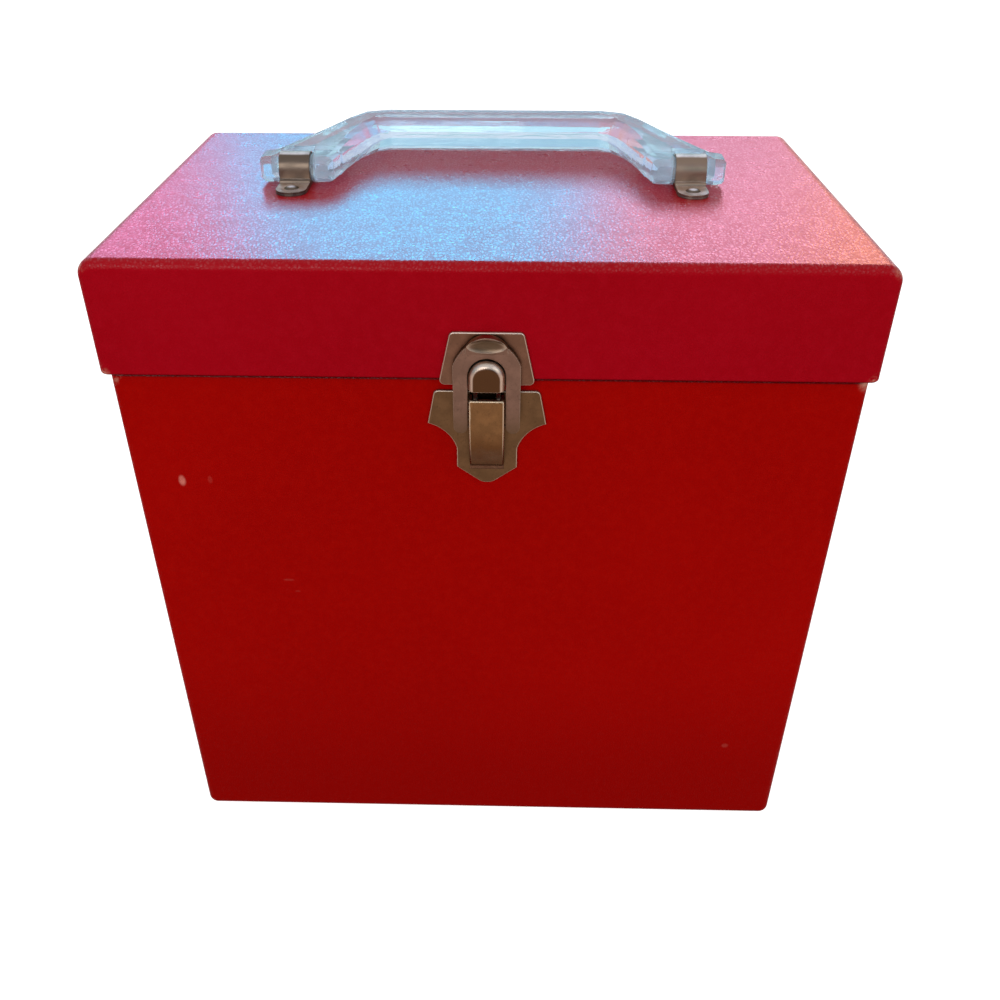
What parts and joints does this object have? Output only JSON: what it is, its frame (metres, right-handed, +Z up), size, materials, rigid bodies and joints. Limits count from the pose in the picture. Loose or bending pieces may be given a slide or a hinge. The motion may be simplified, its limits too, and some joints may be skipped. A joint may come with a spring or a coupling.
{
  "type": "record carrying case",
  "caption": "Small upright carrying case with a hinged lid, a draw latch on the front and a clear faceted folding handle on top.",
  "frame": {"origin": "centre of the face that the case stands on", "axes": "+Z up, +X to the right of the latch side, +Y from the latch side to the hinge side"},
  "size_m": [0.2066, 0.1398, 0.2192],
  "materials": {
    "cover": "fine-grained red leatherette, half gloss",
    "base_sheet": "plain red leatherette sheet, half gloss",
    "board": "grey-brown chipboard",
    "lining": "matt buff lining paper",
    "latch_metal": "aged nickel-plated steel with a warm tarnish",
    "clip_metal": "aged nickel-plated steel with a warm tarnish",
    "hinge_metal": "aged nickel-plated steel with a warm tarnish",
    "washer_metal": "dull plated steel",
    "clear_plastic": "clear polished acrylic"
  },
  "bodies": {
    "case_body": {"base_sheet": "base_sheet", "body_back_board": "board", "body_bottom_board": "board", "body_cover": "cover", "body_front_board": "board", "body_hinge_rivets": "hinge_metal", "body_hinge_washers": "washer_metal", "body_left_board": "board", "body_lining": "lining", "body_right_board": "board", "collar_back_strip": "lining", "collar_front_strip": "lining", "collar_left_strip": "lining", "collar_right_strip": "lining", "latch_base_plate": "latch_metal", "latch_base_rivets": "latch_metal", "latch_base_washers": "washer_metal", "left_hinge_body_leaf": "hinge_metal", "left_hinge_pin": "hinge_metal", "lever_pin": "latch_metal", "right_hinge_body_leaf": "hinge_metal", "right_hinge_pin": "hinge_metal"},
    "lid": {"handle_rivets": "clip_metal", "handle_washers": "washer_metal", "left_handle_clip": "clip_metal", "left_hinge_lid_leaf": "hinge_metal", "lid_back_board": "board", "lid_cover": "cover", "lid_front_board": "board", "lid_hinge_rivets": "hinge_metal", "lid_hinge_washers": "washer_metal", "lid_left_board": "board", "lid_lining": "lining", "lid_right_board": "board", "lid_top_board": "board", "right_handle_clip": "clip_metal", "right_hinge_lid_leaf": "hinge_metal", "strike_plate": "latch_metal", "strike_rivets": "latch_metal", "strike_washers": "washer_metal"},
    "carry_handle": {"handle": "clear_plastic"},
    "lever": {"latch_lever": "latch_metal"},
    "loop": {"latch_loop": "latch_metal"}
  },
  "joints": [
    {"name": "lid_hinge", "type": "hinge", "parent": "case_body", "child": "lid", "pos_m": [0, 0.0673, 0.175], "axis": [-1, 0, 0], "range_deg": [0, 180]},
    {"name": "handle_fold", "type": "hinge", "parent": "lid", "child": "carry_handle", "pos_m": [0, 0.0034, 0.2115], "axis": [1, 0, 0], "range_deg": [0, 155]},
    {"name": "latch_swing", "type": "hinge", "parent": "case_body", "child": "lever", "pos_m": [0, -0.0677, 0.17], "axis": [-1, 0, 0], "range_deg": [0, 95]},
    {"name": "loop_swing", "type": "hinge", "parent": "lever", "child": "loop", "pos_m": [0, -0.06745, 0.1626], "axis": [-1, 0, 0], "range_deg": [-120, 0]}
  ],
  "couplings": [
    {"joint": "loop_swing", "follows": "latch_swing", "ratio": -1.25}
  ]
}
